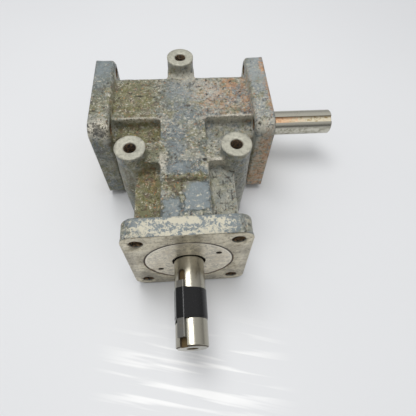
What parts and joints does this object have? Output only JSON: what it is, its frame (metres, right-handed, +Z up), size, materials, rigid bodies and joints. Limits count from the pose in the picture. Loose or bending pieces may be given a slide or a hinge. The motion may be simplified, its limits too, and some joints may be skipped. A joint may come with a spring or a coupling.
{
  "type": "right angle bevel gearbox",
  "caption": "Right angle bevel gearbox: cast T-shaped housing with square bolt flanges and tapped bosses, crossed keyed steel shafts joined by mitre gears in tapered roller bearings",
  "frame": {"origin": "centre of the front mounting face, on the front shaft's axis", "axes": "+Y points into the box along the front shaft, +X along the right-hand shaft, +Z up"},
  "size_m": [0.1841, 0.2149, 0.079],
  "materials": {
    "blue_casting": "worn grey-blue paint over cast iron, machined faces bare",
    "cap_steel": "turned face",
    "seal_rubber": "matt",
    "shaft_steel": "ground and bright",
    "gear_steel": "cut and oiled",
    "key_steel": "cold drawn, bright",
    "spring_steel": "dark phosphated",
    "bearing_steel": "ground and polished",
    "cage_steel": "pressed sheet",
    "black_tape": "gloss, wound tight"
  },
  "bodies": {
    "housing": {"housing": "blue_casting", "front_bearing_cap": "cap_steel", "right_bearing_cap": "cap_steel", "left_blind_cap": "cap_steel", "front_shaft_seal": "seal_rubber", "right_shaft_seal": "seal_rubber", "front_outer_bearing_cup": "bearing_steel", "front_inner_bearing_cup": "bearing_steel", "right_bearing_cup": "bearing_steel", "left_bearing_cup": "bearing_steel"},
    "front_shaft": {"front_shaft": "shaft_steel", "front_bevel_pinion": "gear_steel", "pinion_key": "key_steel", "pinion_retaining_ring": "spring_steel", "front_bearing_retaining_ring": "spring_steel", "front_spacer_sleeve": "gear_steel", "front_output_key": "key_steel", "key_tape": "black_tape", "front_outer_bearing_cone": "bearing_steel", "front_inner_bearing_cone": "bearing_steel"},
    "cross_shaft": {"cross_shaft": "shaft_steel", "cross_bevel_gear": "gear_steel", "cross_gear_key": "key_steel", "cross_gear_retaining_ring": "spring_steel", "left_bearing_retaining_ring": "spring_steel", "right_bearing_cone": "bearing_steel", "left_bearing_cone": "bearing_steel"},
    "front_outer_roller_set": {"front_outer_bearing_cage": "cage_steel", "front_outer_bearing_rollers": "bearing_steel"},
    "front_inner_roller_set": {"front_inner_bearing_cage": "cage_steel", "front_inner_bearing_rollers": "bearing_steel"},
    "right_roller_set": {"right_bearing_cage": "cage_steel", "right_bearing_rollers": "bearing_steel"},
    "left_roller_set": {"left_bearing_cage": "cage_steel", "left_bearing_rollers": "bearing_steel"}
  },
  "joints": [
    {"name": "front_shaft_spin", "type": "hinge", "parent": "housing", "child": "front_shaft", "pos_m": [0, 0.1175, 0], "axis": [0, -1, 0], "continuous": true},
    {"name": "cross_shaft_spin", "type": "hinge", "parent": "housing", "child": "cross_shaft", "pos_m": [0, 0.1175, 0], "axis": [1, 0, 0], "continuous": true},
    {"name": "front_outer_roller_set_spin", "type": "hinge", "parent": "housing", "child": "front_outer_roller_set", "pos_m": [0, 0.1175, 0], "axis": [0, -1, 0], "continuous": true},
    {"name": "front_inner_roller_set_spin", "type": "hinge", "parent": "housing", "child": "front_inner_roller_set", "pos_m": [0, 0.1175, 0], "axis": [0, -1, 0], "continuous": true},
    {"name": "right_roller_set_spin", "type": "hinge", "parent": "housing", "child": "right_roller_set", "pos_m": [0, 0.1175, 0], "axis": [1, 0, 0], "continuous": true},
    {"name": "left_roller_set_spin", "type": "hinge", "parent": "housing", "child": "left_roller_set", "pos_m": [0, 0.1175, 0], "axis": [1, 0, 0], "continuous": true}
  ],
  "couplings": [
    {"joint": "cross_shaft_spin", "follows": "front_shaft_spin", "ratio": -1},
    {"joint": "front_outer_roller_set_spin", "follows": "front_shaft_spin", "ratio": 0.4059},
    {"joint": "front_inner_roller_set_spin", "follows": "front_shaft_spin", "ratio": 0.4059},
    {"joint": "right_roller_set_spin", "follows": "front_shaft_spin", "ratio": -0.4059},
    {"joint": "left_roller_set_spin", "follows": "front_shaft_spin", "ratio": -0.4059}
  ]
}
